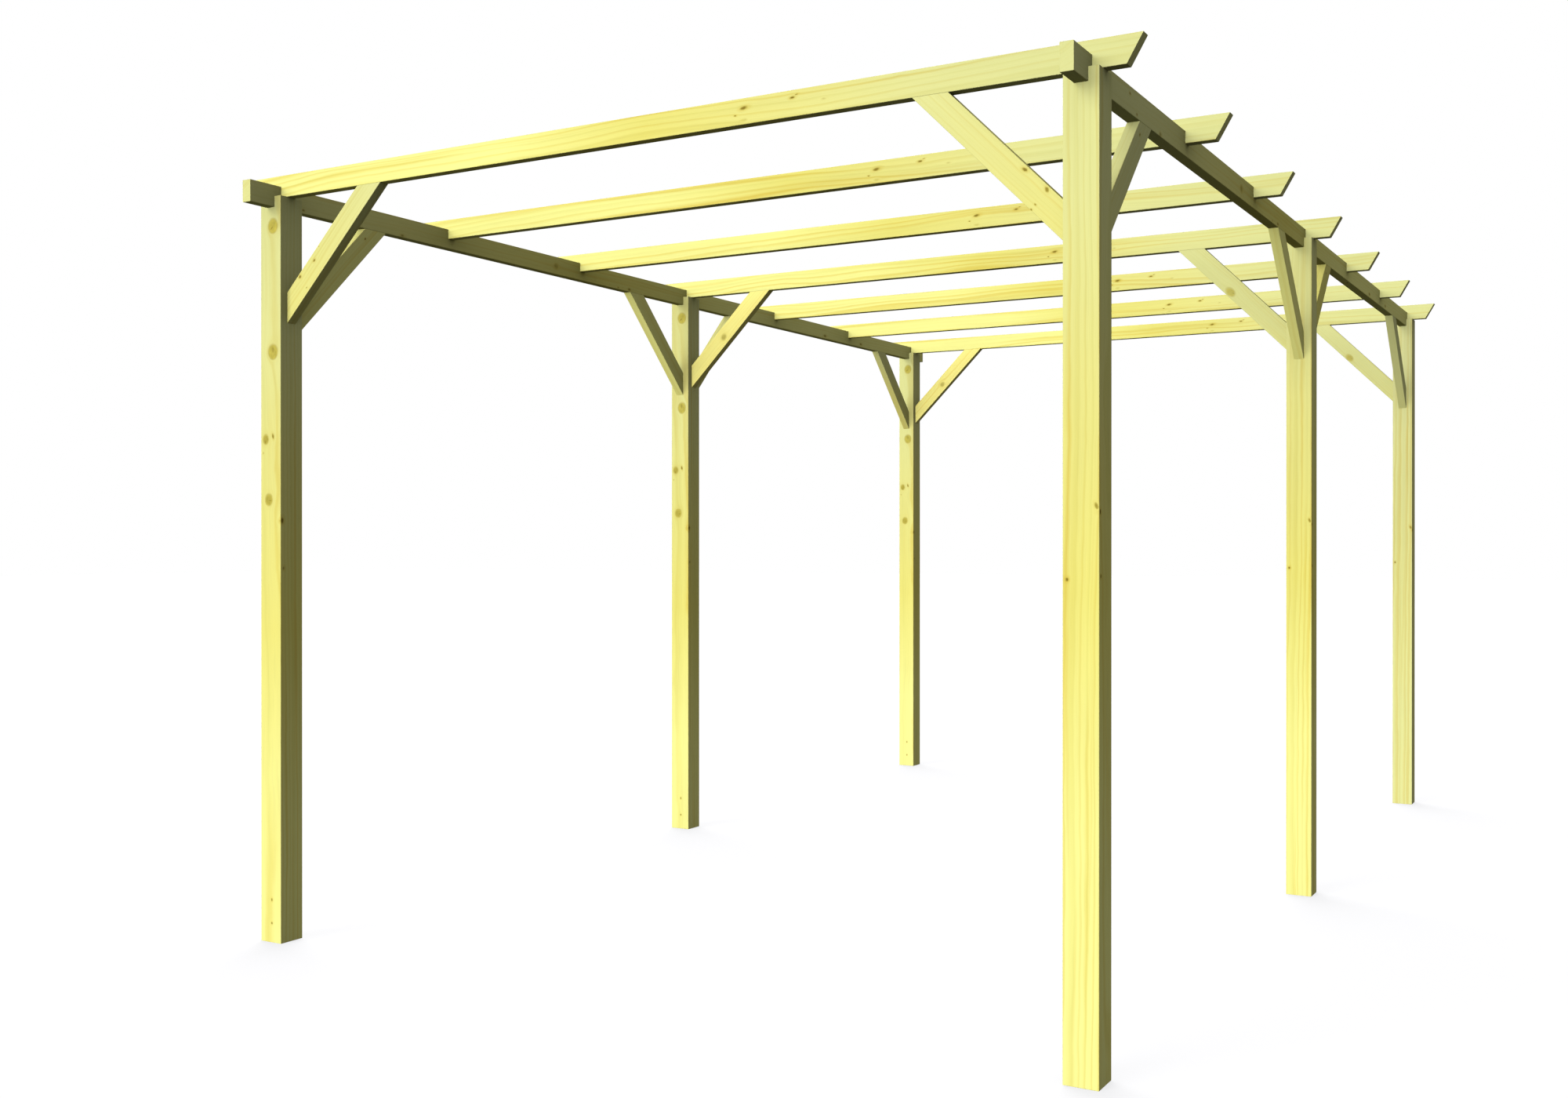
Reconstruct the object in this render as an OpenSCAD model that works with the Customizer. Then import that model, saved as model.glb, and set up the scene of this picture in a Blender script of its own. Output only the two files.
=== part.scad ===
// A free-standing wooden pergola of sawn timber: six forked posts carry two long beams, seven
// rafters are notched over the beams, and short braces stiffen every corner of the frame.
// Millimetres. X runs along the rafters, Y along the beams and Z up. The origin is on the ground
// in the middle of the frame, left is -X and the front is -Y.

/* [Posts] */
// Side of the square posts
post_side = 90; // [70:5:150]
// Height of the posts, up to the tips of the fork
post_height = 2400; // [2000:50:3000]
// Depth of the slot in the top of a post, which the beam lies in
slot_depth = 35; // [15:5:60]

/* [Beams] */
// Length of a beam, from front to back
beam_length = 5000; // [3600:50:7000]
// Height of a beam
beam_height = 70; // [50:5:90]
// Thickness of a beam
beam_thickness = 35; // [25:5:50]
// Distance that a beam runs on past its end posts
beam_overhang = 98; // [20:2:400]

/* [Rafters] */
// Length of a rafter along its top edge
rafter_length = 3000; // [2000:50:4500]
// Height of a rafter
rafter_height = 70; // [50:5:150]
// Thickness of a rafter
rafter_thickness = 35; // [25:5:60]
// Distance that the top edge of a rafter runs on past the posts
rafter_overhang = 97; // [90:1:400]
// Slope of the undercut at the ends of a rafter, in degrees from upright
rafter_end_slope = 30; // [0:5:45]
// Number of rafters, with one over each pair of posts
rafter_count = 7; // [3:2:13]

/* [Braces] */
// Width of a brace
brace_width = 70; // [40:5:100]
// Thickness of a brace
brace_thickness = 35; // [20:5:50]
// Distance from a post to the far end of its braces, along the timber that they prop
brace_reach = 407; // [250:1:700]

/* [Joints and edges] */
// Width that a slot or a notch has beyond the timber in it
joint_play = 0.6; // [0.2:0.1:2]
// Bevel that eases the long edges of every timber
arris = 2; // [1:0.5:5]

/* [Hidden] */
row_names = ["front", "middle", "back"];
side_names = ["left", "right"];
rows = [0 : len(row_names) - 1];
sides = [0 : len(side_names) - 1];
middle_row = 1;

post_colour = [0.86, 0.86, 0.54];
beam_colour = [0.80, 0.80, 0.50];
rafter_colour = [0.84, 0.85, 0.57];
brace_colour = [0.78, 0.77, 0.46];

// Distances between the posts, from centre to centre
post_pitch_x = rafter_length - 2 * rafter_overhang - post_side;
post_pitch_y = (beam_length - 2 * beam_overhang - post_side) / 2;
rafter_pitch = 2 * post_pitch_y / (rafter_count - 1);

// Levels at which the timbers rest on each other
beam_bottom = post_height - slot_depth;
beam_top = beam_bottom + beam_height;
rafter_bottom = post_height;
notch_depth = beam_top - rafter_bottom;
notch_width = beam_thickness + joint_play;

rafter_undercut = rafter_height * tan(rafter_end_slope);
brace_slope = 45;

// Distance that a cutting shape reaches beyond the face that it cuts
over = 10;

function corner_name(row, side) = str(row_names[row], "_", side_names[side]);
function post_name(row, side) = str("post_", corner_name(row, side));
function beam_name(side) = str("beam_", side_names[side]);
function rafter_name(place) = str("rafter_", place);
function rafter_brace_name(row, side) = str("rafter_brace_", corner_name(row, side));

// A middle post props its beam both ways, so the name of such a brace says which way it leans
function lean_name(row, way) = row != middle_row ? "" : way < 0 ? "_forward" : "_backward";
function beam_brace_name(row, side, way) = str("beam_brace_", corner_name(row, side), lean_name(row, way));

// Ways along Y that the beam braces of a row of posts lean, always in under the beam
function beam_brace_ways(row) = row < middle_row ? [1] : row > middle_row ? [-1] : [-1, 1];

function post_x(side) = (2 * side - 1) * post_pitch_x / 2;
function post_y(row) = (row - middle_row) * post_pitch_y;
function rafter_y(place) = post_y(0) + (place - 1) * rafter_pitch;

// Outline of a sawn timber's end: a rectangle about the origin's vertical, with its corners eased
function eased_outline(width, height) = [
    [arris - width / 2, 0], [width / 2 - arris, 0],
    [width / 2, arris], [width / 2, height - arris],
    [width / 2 - arris, height], [arris - width / 2, height],
    [-width / 2, height - arris], [-width / 2, arris]
];

// Outline of a rafter seen from the front: undercut ends, and a notch over each beam
function rafter_outline() = [
    [-rafter_length / 2, rafter_height],
    [rafter_undercut - rafter_length / 2, 0],
    for (side = sides) each [
        [post_x(side) - notch_width / 2, 0],
        [post_x(side) - notch_width / 2, notch_depth],
        [post_x(side) + notch_width / 2, notch_depth],
        [post_x(side) + notch_width / 2, 0]
    ],
    [rafter_length / 2 - rafter_undercut, 0],
    [rafter_length / 2, rafter_height]
];

// Straight timber that lies along +X with its bottom face on z = 0, centred on y = 0
module timber(length, thickness, height) {
    rotate([90, 0, 90])
        linear_extrude(length)
            polygon(eased_outline(thickness, height));
}

// Post with the slot for its beam, open to the front and the back
module post(row, side) {
    color(post_colour)
        translate([post_x(side), post_y(row), 0])
            difference() {
                translate([0, -post_side / 2, 0])
                    linear_extrude(post_height)
                        polygon(eased_outline(post_side, post_side));
                translate([-notch_width / 2, -post_side / 2 - over, beam_bottom])
                    cube([notch_width, post_side + 2 * over, slot_depth + over]);
            }
}

// Beam along one side, in the forks of its three posts
module beam(side) {
    color(beam_colour)
        translate([post_x(side), -beam_length / 2, beam_bottom])
            rotate([0, 0, 90])
                timber(beam_length, beam_thickness, beam_height);
}

// Rafter that rides on both beams, and over a post on the tips of its fork too
module rafter(place) {
    color(rafter_colour)
        translate([0, rafter_y(place), rafter_bottom])
            intersection() {
                translate([-rafter_length / 2, 0, 0])
                    timber(rafter_length, rafter_thickness, rafter_height);
                rotate([90, 0, 0])
                    linear_extrude(rafter_thickness + 2 * over, center = true)
                        polygon(rafter_outline());
            }
}

// Brace in the corner under a timber: the post's face is x = 0 and the timber's underside z = 0
module brace() {
    intersection() {
        translate([0, 0, -brace_reach])
            rotate([0, -brace_slope, 0])
                translate([-brace_width, 0, 0])
                    timber(2 * (brace_reach + brace_width), brace_thickness, brace_width);
        translate([0, -brace_thickness / 2, -brace_reach])
            cube([brace_reach, brace_thickness, brace_reach]);
    }
}

// Brace from the inner face of a post up to the rafter over it
module rafter_brace(row, side) {
    inward = 1 - 2 * side;
    color(brace_colour)
        translate([post_x(side) + inward * post_side / 2, post_y(row), rafter_bottom])
            rotate([0, 0, 180 * side])
                brace();
}

// Brace from the front or back face of a post up to its beam
module beam_brace(row, side, way) {
    color(brace_colour)
        translate([post_x(side), post_y(row) + way * post_side / 2, beam_bottom])
            rotate([0, 0, 90 * way])
                brace();
}

for (row = rows, side = sides)
    post(row, side);

for (side = sides)
    beam(side);

for (place = [1:rafter_count])
    rafter(place);

for (row = rows, side = sides)
    rafter_brace(row, side);

for (row = rows, side = sides, way = beam_brace_ways(row))
    beam_brace(row, side, way);
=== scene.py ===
# %% [markdown]
# A free-standing garden pergola of sawn, pressure-treated softwood. Six forked posts carry two
# long beams, seven rafters are notched over the beams, and short braces stiffen every corner.
# The sizes are settled in a measured model, so the lesson starts by loading it. Each timber is
# then built again in its own place, with the eased edges, growth rings and knots of real wood.

# %% Load the measured model
from math import pi, radians, sqrt, tan

import bpy
import numpy as np
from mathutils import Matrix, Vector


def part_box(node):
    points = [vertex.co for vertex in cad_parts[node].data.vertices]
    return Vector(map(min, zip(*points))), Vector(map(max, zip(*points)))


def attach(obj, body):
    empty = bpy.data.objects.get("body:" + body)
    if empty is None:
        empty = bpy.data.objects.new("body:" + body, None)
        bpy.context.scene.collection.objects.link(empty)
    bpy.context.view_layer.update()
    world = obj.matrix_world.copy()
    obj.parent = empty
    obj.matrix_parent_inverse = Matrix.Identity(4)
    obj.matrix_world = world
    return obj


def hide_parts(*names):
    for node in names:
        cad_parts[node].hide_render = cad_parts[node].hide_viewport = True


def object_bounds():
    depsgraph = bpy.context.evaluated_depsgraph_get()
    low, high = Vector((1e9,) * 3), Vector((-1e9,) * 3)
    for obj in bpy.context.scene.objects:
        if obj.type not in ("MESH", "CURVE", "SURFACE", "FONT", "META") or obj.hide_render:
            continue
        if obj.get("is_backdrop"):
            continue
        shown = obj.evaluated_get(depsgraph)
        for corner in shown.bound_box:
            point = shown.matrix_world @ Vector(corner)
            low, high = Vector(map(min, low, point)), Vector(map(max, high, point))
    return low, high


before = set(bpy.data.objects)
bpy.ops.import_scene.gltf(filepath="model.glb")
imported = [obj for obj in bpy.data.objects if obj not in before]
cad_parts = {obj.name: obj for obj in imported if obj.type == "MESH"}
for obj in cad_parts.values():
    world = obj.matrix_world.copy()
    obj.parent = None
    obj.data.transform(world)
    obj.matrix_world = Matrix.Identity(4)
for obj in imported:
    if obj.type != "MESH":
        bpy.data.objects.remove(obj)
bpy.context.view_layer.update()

# %% [markdown]
# The eye stands at chest height, well to the right of the middle, and looks up the length of
# the beams. A camera is placed like any object: a place, a turn and a lens. The numbers could be
# found by eye, but edges known to be square and upright give them more exactly.

# %% Camera
EYE = (2.603, -5.941, 1.274)
TILT = 89.91
TURN = 30.10
LENS = 36.0
FILM = 36.0


def stand(name, data):
    """Puts a new object in the scene."""
    thing = bpy.data.objects.new(name, data)
    bpy.context.scene.collection.objects.link(thing)
    return thing


camera = stand("camera", bpy.data.cameras.new("camera"))
camera.data.lens = LENS
camera.data.sensor_width = FILM
camera.location = EYE
camera.rotation_euler = (radians(TILT), 0, radians(TURN))
bpy.context.scene.camera = camera
print("camera: at", EYE, "turned", TURN, "degrees")

# %% [markdown]
# Node trees are easier to read when one call makes a node, sets it up and feeds it. One helper
# does that for any node, and the others for arithmetic and the nodes that come often.

# %% Helpers for node trees
def feed(tree, socket, value):
    """Links a node's output to a socket, or sets the socket to a plain value."""
    if isinstance(value, bpy.types.NodeSocket):
        tree.links.new(value, socket)
    else:
        socket.default_value = value


def put(tree, kind, feeds=None, **settings):
    """Adds a node with its settings. Each feed is an input's name or number and what goes in."""
    node = tree.nodes.new(kind)
    for setting, value in settings.items():
        setattr(node, setting, value)
    for place, value in (feeds or {}).items():
        feed(tree, node.inputs[place], value)
    return node


def maths(tree, operation, *terms):
    """The answer of one sum on numbers, as a socket."""
    return put(tree, "ShaderNodeMath", dict(enumerate(terms)), operation=operation).outputs[0]


def times(tree, first, second):
    """One number times another, as a socket."""
    return maths(tree, "MULTIPLY", first, second)


def vector_maths(tree, operation, *terms):
    """The answer of one sum on vectors, as a socket: a length or a dot product is the number."""
    node = put(tree, "ShaderNodeVectorMath", dict(enumerate(terms)), operation=operation)
    return node.outputs["Value" if operation in ("LENGTH", "DOT_PRODUCT") else "Vector"]


def scaled(tree, vector, factor):
    """A vector times a number, as a socket."""
    return put(tree, "ShaderNodeVectorMath", {0: vector, "Scale": factor}, operation="SCALE").outputs[0]


def parts_of(tree, vector):
    """The outputs X, Y and Z of a vector that is taken apart."""
    return put(tree, "ShaderNodeSeparateXYZ", {0: vector}).outputs


def noise(tree, place, scale, detail):
    """The outputs of a soft noise that is read at a place."""
    feeds = {"Vector": place, "Scale": scale, "Detail": detail}
    return put(tree, "ShaderNodeTexNoise", feeds).outputs


def ramp(tree, value, start, end, low=0.0, high=1.0):
    """A smooth step: low up to start, high from end on."""
    feeds = {"Value": value, "From Min": start, "From Max": end, "To Min": low, "To Max": high}
    return put(tree, "ShaderNodeMapRange", feeds, interpolation_type="SMOOTHSTEP").outputs["Result"]


def blend(tree, share, first, second, mode="MIX", kind="Color"):
    """Two colours, or two vectors, blended by a share, as a socket."""
    node = put(tree, "ShaderNodeMix", data_type="RGBA" if kind == "Color" else "VECTOR", blend_type=mode)
    for title, value in (("Factor_Float", share), ("A_" + kind, first), ("B_" + kind, second)):
        feed(tree, next(s for s in node.inputs if s.identifier == title), value)
    return next(s for s in node.outputs if s.identifier == "Result_" + kind)


def stain(tree, share, colour, tint):
    """A colour multiplied by a tint, as far as the share says."""
    return blend(tree, share, colour, tint, "MULTIPLY")


def new_group(name, inputs, outputs):
    """An empty node group with named sockets. An input is a vector where its default has three
    numbers, and else a number. Returns the tree, its entry and its exit."""
    tree = bpy.data.node_groups.new(name, "ShaderNodeTree")
    for title, default in inputs.items():
        kind = "NodeSocketVector" if np.size(default) == 3 else "NodeSocketFloat"
        socket = tree.interface.new_socket(title, in_out="INPUT", socket_type=kind)
        socket.default_value = default
    for title, kind in outputs.items():
        tree.interface.new_socket(title, in_out="OUTPUT", socket_type="NodeSocket" + kind)
    return tree, put(tree, "NodeGroupInput").outputs, put(tree, "NodeGroupOutput")


def give(tree, leave, found):
    """Links what a group has found to the outputs of the same names."""
    for title, value in found.items():
        tree.links.new(value, leave.inputs[title])


def group_node(tree, group, feeds):
    """Places a node group in a tree and returns its outputs."""
    return put(tree, "ShaderNodeGroup", feeds, node_tree=group).outputs


print("helpers: ready")

# %% [markdown]
# The backdrop is plain white. The world shows white to the eye, but lights the wood with far
# less, so that the shaded sides stay deep and the pale sides don't burn out. That light is a
# little cool, or the shaded sides would turn as golden as the fronts. Light Path tells what the
# eye sees, directly, in a gloss or through a glass, from what lights the wood.

# %% World
SKY = 0.355
SKY_TINT = (0.98, 0.98, 1.12, 1)
WHITE = (1, 1, 1, 1)

world = bpy.data.worlds.new("white studio")
world.use_nodes = True
bpy.context.scene.world = world
bpy.context.scene.view_settings.view_transform = "Standard"


def seen(tree):
    """One where the eye sees a surface directly, in a gloss or through a glass, else zero."""
    path = tree.nodes.new("ShaderNodeLightPath").outputs
    shown = maths(tree, "MAXIMUM", path["Is Camera Ray"], path["Is Glossy Ray"])
    return maths(tree, "MAXIMUM", shown, path["Is Transmission Ray"])


tree = world.node_tree
tree.nodes.clear()
shown = seen(tree)
feeds = {"Color": blend(tree, shown, SKY_TINT, WHITE), "Strength": maths(tree, "MAXIMUM", shown, SKY)}
backdrop = put(tree, "ShaderNodeBackground", feeds)
put(tree, "ShaderNodeOutputWorld", {"Surface": backdrop.outputs[0]})
print("world: white to the eye,", SKY, "as light")

# %% [markdown]
# The floor is one large plain sheet. To the eye it is nearly white and keeps a faint shadow:
# most of its white is its own, and the rest is the light that falls on it. To the timbers it is
# dark, because their undersides get almost no light back from the ground.

# %% Floor
FLOOR_HALF = 60.0
FLOOR_OWN_WHITE = 0.76
FLOOR_PALE = (0.30, 0.30, 0.30, 1)
FLOOR_BOUNCE = (0.05, 0.05, 0.04, 1)

floor_mesh = bpy.data.meshes.new("floor")
corners = np.array([(-1, -1, 0), (1, -1, 0), (1, 1, 0), (-1, 1, 0)]) * FLOOR_HALF
floor_mesh.from_pydata(corners.tolist(), [], [(0, 1, 2, 3)])
floor = stand("floor", floor_mesh)
floor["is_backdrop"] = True

paint = bpy.data.materials.new("studio floor")
paint.use_nodes = True
tree = paint.node_tree
tree.nodes.clear()
shadow = put(tree, "ShaderNodeBsdfDiffuse", {"Color": FLOOR_PALE}).outputs[0]
own = put(tree, "ShaderNodeEmission", {"Color": WHITE, "Strength": FLOOR_OWN_WHITE}).outputs[0]
shown = put(tree, "ShaderNodeAddShader", {0: shadow, 1: own}).outputs[0]
bounce = put(tree, "ShaderNodeBsdfDiffuse", {"Color": FLOOR_BOUNCE}).outputs[0]
choice = put(tree, "ShaderNodeMixShader", {0: seen(tree), 1: bounce, 2: shown}).outputs[0]
put(tree, "ShaderNodeOutputMaterial", {"Surface": choice})
floor_mesh.materials.append(paint)
print("floor:", 2 * FLOOR_HALF, "m square")

# %% [markdown]
# Broad soft lamps do the rest. The front fill shines in almost level and a little from the left,
# so the fronts are bright and the right-hand sides are left to the sky. It casts no shadow,
# because the frame is as bright at the back as at the front. A weaker front lamp higher up does
# cast one, which puts a soft dark edge in the corners. The rear lamp stands high behind on the
# left and gives the tops and the far sides their light.

# %% Lamps
def sun(name, turn, height, softness, level, shadows=True):
    """A distant lamp. It stands turn degrees to the left of the front and height above level,
    is softness degrees wide, and lights a white card that faces it to the given level."""
    lamp = bpy.data.lights.new(name, "SUN")
    lamp.use_shadow = shadows
    lamp.energy = level * pi
    lamp.angle = radians(softness)
    stand(name, lamp).rotation_euler = (radians(90 - height), 0, radians(-turn))


sun("front fill lamp", turn=20, height=1, softness=10, level=0.59, shadows=False)
sun("front lamp", turn=20, height=18, softness=36, level=0.47)
sun("rear lamp", turn=140, height=32, softness=60, level=0.78)
print("lamps: front fill, front and rear")

# %% [markdown]
# A sawn timber is a plain bar, but never a perfect box. The saw and the planer leave its long
# edges rounded by a millimetre or two, and the soft line that this gives every face is what makes
# it read as wood. A box with a bevel would do it. Here the cross-section is worked out instead,
# with its corners as true quarter circles, and is carried along the timber, ring by ring.

# %% Cross-section
ARRIS = 0.0016
ARRIS_STEPS = 4
END_EASE = 0.0007


def cross_section(low, high, half, marks=(), low_round=ARRIS, high_round=ARRIS, inset=0.0):
    """Outline of a timber across its length: from low to high one way, and half each way in the
    other. A corner is its centre plus its radius times the cosine and sine of an angle that
    turns through a quarter. Marks are extra points on both long sides. Inset shrinks it all.
    Returns the points and the way that the surface faces at each."""
    low, high, half = low + inset, high - inset, half - inset
    turn = np.linspace(0, pi / 2, ARRIS_STEPS + 1)
    marks = np.sort(np.array(marks, float))[::-1]
    points, facing = [], []
    corners = ((high, high_round), (low, low_round), (low, low_round), (high, high_round))
    for quarter, (edge, rounding) in enumerate(corners):
        rounding = max(rounding - inset, 0)
        angle = turn + quarter * pi / 2
        away = np.stack([np.cos(angle), np.sin(angle)], 1)
        across = edge - rounding if edge == high else edge + rounding
        through = (half - rounding) * (1 if quarter < 2 else -1)
        points.append(np.array([across, through]) + rounding * away)
        facing.append(away)
        if quarter in (0, 2):
            side = 1 if quarter == 0 else -1
            points.append(np.stack([marks[::side], np.full(len(marks), side * half)], 1))
            facing.append(np.tile([0.0, side], (len(marks), 1)))
    return np.concatenate(points), np.concatenate(facing)


def ring(section, station, slope=0.0, facing=None):
    """One turn round a timber. Its place along is the station plus the slope times the distance
    across, so a sloping ring follows a slanted saw cut. Returns the places and the directions."""
    points, away = section
    places = np.column_stack([station + slope * points[:, 0], points])
    directions = np.column_stack([np.zeros(len(points)), away])
    if facing is not None:
        directions = np.broadcast_to(np.array(facing, float), places.shape)
    return places, directions


print("cross-section:", len(cross_section(-1, 1, 1)[0]), "points round a plain timber")

# %% [markdown]
# Rings alone aren't a skin. Neighbouring rings are joined by four-sided faces, and an end is
# closed by faces that run straight across from one half of its ring to the other. Each face
# also gets its own place on a flat map, with the grain running up it, so that a picture of the
# wood baked on that map stays sharp: the skin is cut into a few lengths that lie side by side,
# and the ends and notches lie in a row of small cells below them.

# %% Skin of faces
MAP_GAP = 0.04
MAP_FOOT = 0.08
MAP_CELLS = 8
TINY = 1e-6
ALONG = np.array([1.0, 0, 0])


def faces_of(grid):
    """The four corners of every cell of a grid of values, turning the way that faces outwards."""
    return np.stack([grid[:-1, :-1], grid[:-1, 1:], grid[1:, 1:], grid[1:, :-1]], axis=2)


def distance_round(places):
    """How far round a closed ring each of its points lies, as a share of the whole turn."""
    steps = np.linalg.norm(np.diff(places[:, :, 1:], axis=1), axis=2)
    travelled = np.concatenate([np.zeros((len(places), 1)), np.cumsum(steps, axis=1)], axis=1)
    return travelled / travelled[:, -1:]


def cell(number, first, second):
    """Place on the flat map in one of the small cells, from two shares between 0 and 1."""
    left = (number + MAP_GAP + (1 - 2 * MAP_GAP) * first) / MAP_CELLS
    return np.stack([left, MAP_FOOT * (MAP_GAP + (1 - 2 * MAP_GAP) * second)], axis=-1)


def sleeve(rings, span, lengths=1, cell_number=None):
    """Skin round a timber between its rings. On the map, the distance round goes across and the
    distance along goes up. The span is the timber's least and greatest distance along."""
    stacks = [np.stack(rows) for rows in zip(*rings)]
    places, facing = (np.concatenate([rows, rows[:, :1]], axis=1) for rows in stacks)
    across = faces_of(distance_round(places))
    up = faces_of((places[:, :, 0] - span[0]) / (span[1] - span[0]))
    if cell_number is None:
        column = np.floor(np.clip(up.mean(axis=(1, 2)) * lengths, 0, lengths - TINY))[:, None, None]
        left = (column + MAP_GAP + (1 - 2 * MAP_GAP) * across) / lengths
        rise = np.clip(up * lengths - column, 0, 1)
        flat = np.stack([left, MAP_FOOT + (1 - MAP_FOOT - MAP_GAP / MAP_CELLS) * rise], axis=-1)
    else:
        flat = cell(cell_number, across, up)
    parts = (faces_of(places), faces_of(facing), flat)
    return [np.reshape(part, (-1, 4, part.shape[-1])) for part in parts]


def plate(rows, facing, cell_number):
    """Flat face between two rows of points that run side by side."""
    places = np.stack(rows)
    low, high = places.min(axis=(0, 1)), places.max(axis=(0, 1))
    share = (places - low) / np.maximum(high - low, TINY)
    wide = 1 if high[1] - low[1] > TINY else 0
    flat = cell(cell_number, share[:, :, wide], share[:, :, 2])
    away = np.broadcast_to(np.array(facing, float), places.shape)
    return [np.reshape(faces_of(part), (-1, 4, part.shape[-1])) for part in (places, away, flat)]


def end_plate(end_ring, facing, cell_number):
    """Closes a timber: each point of one half of the last ring is joined to its opposite."""
    places = end_ring[0]
    half = len(places) // 2
    rows = [places[:half], places[::-1][:half]]
    return plate(rows if facing[0] > 0 else rows[::-1], facing, cell_number)


def saw_cut(outline, station, slope, way):
    """The two rings of an eased end: one on the cut, drawn in a little, and one just inside it.
    The way is 1 at the far end of a timber and -1 at its near end. Rings come from near to far."""
    facing = way * np.array([1, -slope, 0]) / sqrt(1 + slope ** 2)
    on_cut = ring(outline(inset=END_EASE), station, slope, facing)
    inside = ring(outline(), station - way * END_EASE, slope)
    return [on_cut, inside] if way < 0 else [inside, on_cut], facing


print("map: ends and notches take the lowest", MAP_FOOT, "of it")

# %% [markdown]
# A face is only useful once it is welded to its neighbours. Corners that lie in the same place
# become one point, faces that have shrunk to a line are dropped, and the directions worked out
# with the section go in as the mesh's own normals, so flat faces stay flat up to the round edge.
# Each point also keeps its place in the timber's own terms, along, across and through, because
# the grain has to follow the timber and not the world.

# %% Make a timber
def make_timber(node, skins, origin, along, across):
    """Turns skins into one welded piece that stands for a node of the measured model. A point's
    place is the origin plus its three own distances times the timber's three directions."""
    places, facing, flat = (np.concatenate(parts) for parts in zip(*skins))
    steps = np.round(places.reshape(-1, 3) / TINY).astype(np.int64)
    own, corner = np.unique(steps, axis=0, return_inverse=True)
    own = own * TINY
    corner = corner.reshape(-1, 4)
    fresh = corner != np.roll(corner, -1, axis=1)
    whole = (fresh.sum(axis=1) > 2) & (corner[:, 0] != corner[:, 2]) & (corner[:, 1] != corner[:, 3])
    kept = fresh & whole[:, None]
    sides = kept.sum(axis=1)[whole]
    directions = np.stack([along, across, np.cross(along, across)])
    mesh = bpy.data.meshes.new(node + "_timber")
    mesh.vertices.add(len(own))
    mesh.vertices.foreach_set("co", (np.array(origin) + own @ directions).ravel())
    mesh.loops.add(kept.sum())
    mesh.loops.foreach_set("vertex_index", corner[kept])
    mesh.polygons.add(len(sides))
    mesh.polygons.foreach_set("loop_start", np.concatenate([[0], np.cumsum(sides)[:-1]]))
    mesh.update(calc_edges=True)
    mesh.uv_layers.new(name="OFBake").data.foreach_set("uv", flat[kept].ravel())
    mesh.attributes.new("timber", "FLOAT_VECTOR", "POINT").data.foreach_set("vector", own.ravel())
    mesh.shade_smooth()
    mesh.normals_split_custom_set((facing[kept] @ directions).tolist())
    if mesh.validate():
        print("repaired faces in", node)
    piece = stand(node + "_timber", mesh)
    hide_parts(node)
    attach(piece, "root")
    return piece


timbers = {}
RIGHT, BACK, UP = np.eye(3)
print("timbers: ready to build", len(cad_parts))

# %% [markdown]
# A post is a square timber whose top is sawn into a fork: a slot as wide as the beam runs
# through it from front to back, and two cheeks stand up on either side. Cutting the slot with a
# Boolean would leave the cheeks' outer faces in pieces. Here the shaft's rings already have
# points on the slot's edges, so each cheek is one more short sleeve that grows out of them.

# %% Posts
JOINT_PLAY = 0.0006

beam_low, beam_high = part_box("beam_left")
beam_thickness = beam_high.x - beam_low.x


def post_skins(height, side, slot_width, slot_depth):
    """Skins of a forked post: the shaft, the floor of its slot, and the two cheeks."""
    half, cheek, shoulder = side / 2, slot_width / 2, height - slot_depth
    span = (0, height)

    def shaft(inset=0.0):
        return cross_section(-half, half, half, marks=(-cheek, cheek), inset=inset)

    foot, facing = saw_cut(shaft, 0, 0, -1)
    skins = [end_plate(foot[0], facing, 0)]
    skins.append(sleeve(foot + [ring(shaft(), height / 2), ring(shaft(), shoulder)], span, lengths=2))
    slot_floor = np.array([[(shoulder, b, c) for b in (cheek, -cheek)] for c in (half, -half)])
    skins.append(plate(slot_floor, ALONG, 1))
    cheeks = ((cheek, half, 0, ARRIS), (-half, -cheek, ARRIS, 0))
    for number, (low, high, low_round, high_round) in enumerate(cheeks):
        def tine(inset=0.0):
            return cross_section(low, high, half, (), low_round, high_round, inset)
        tip, facing = saw_cut(tine, height, 0, 1)
        skins.append(sleeve([ring(tine(), shoulder)] + tip, (shoulder, height), cell_number=2 + number))
        skins.append(end_plate(tip[1], facing, 4 + number))
    return skins


for row in ("front", "middle", "back"):
    for side in ("left", "right"):
        node = f"post_{row}_{side}"
        low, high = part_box(node)
        skins = post_skins(high.z, high.x - low.x, beam_thickness + JOINT_PLAY, high.z - beam_low.z)
        origin = ((low.x + high.x) / 2, (low.y + high.y) / 2, 0)
        timbers[node] = make_timber(node, skins, origin, UP, RIGHT)
print("posts:", high.z, "m high, made of", len(timbers[node].data.polygons), "faces each")

# %% [markdown]
# A beam is the plainest timber here: one bar, square at both ends, that lies in three forks. A
# stretched cube would do but for its sharp edges. One sleeve with closed ends is as short, and
# the same function can saw both ends at a slope.

# %% Beams
def bar_skins(length, width, thickness, slope=0, lengths=1):
    """Skins of a bar whose middle line has the given length. Both ends are sawn at the slope,
    one the mirror of the other. Its map is cut into as many lengths as asked."""
    def bar(inset=0.0):
        return cross_section(-width / 2, width / 2, thickness / 2, inset=inset)

    near, near_facing = saw_cut(bar, 0, slope, -1)
    far, far_facing = saw_cut(bar, length, -slope, 1)
    between = [ring(bar(), length * step / lengths) for step in range(1, lengths)]
    point = slope * width / 2
    skins = [sleeve(near + between + far, (-point, length + point), lengths)]
    return skins + [end_plate(near[0], near_facing, 0), end_plate(far[1], far_facing, 1)]


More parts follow.
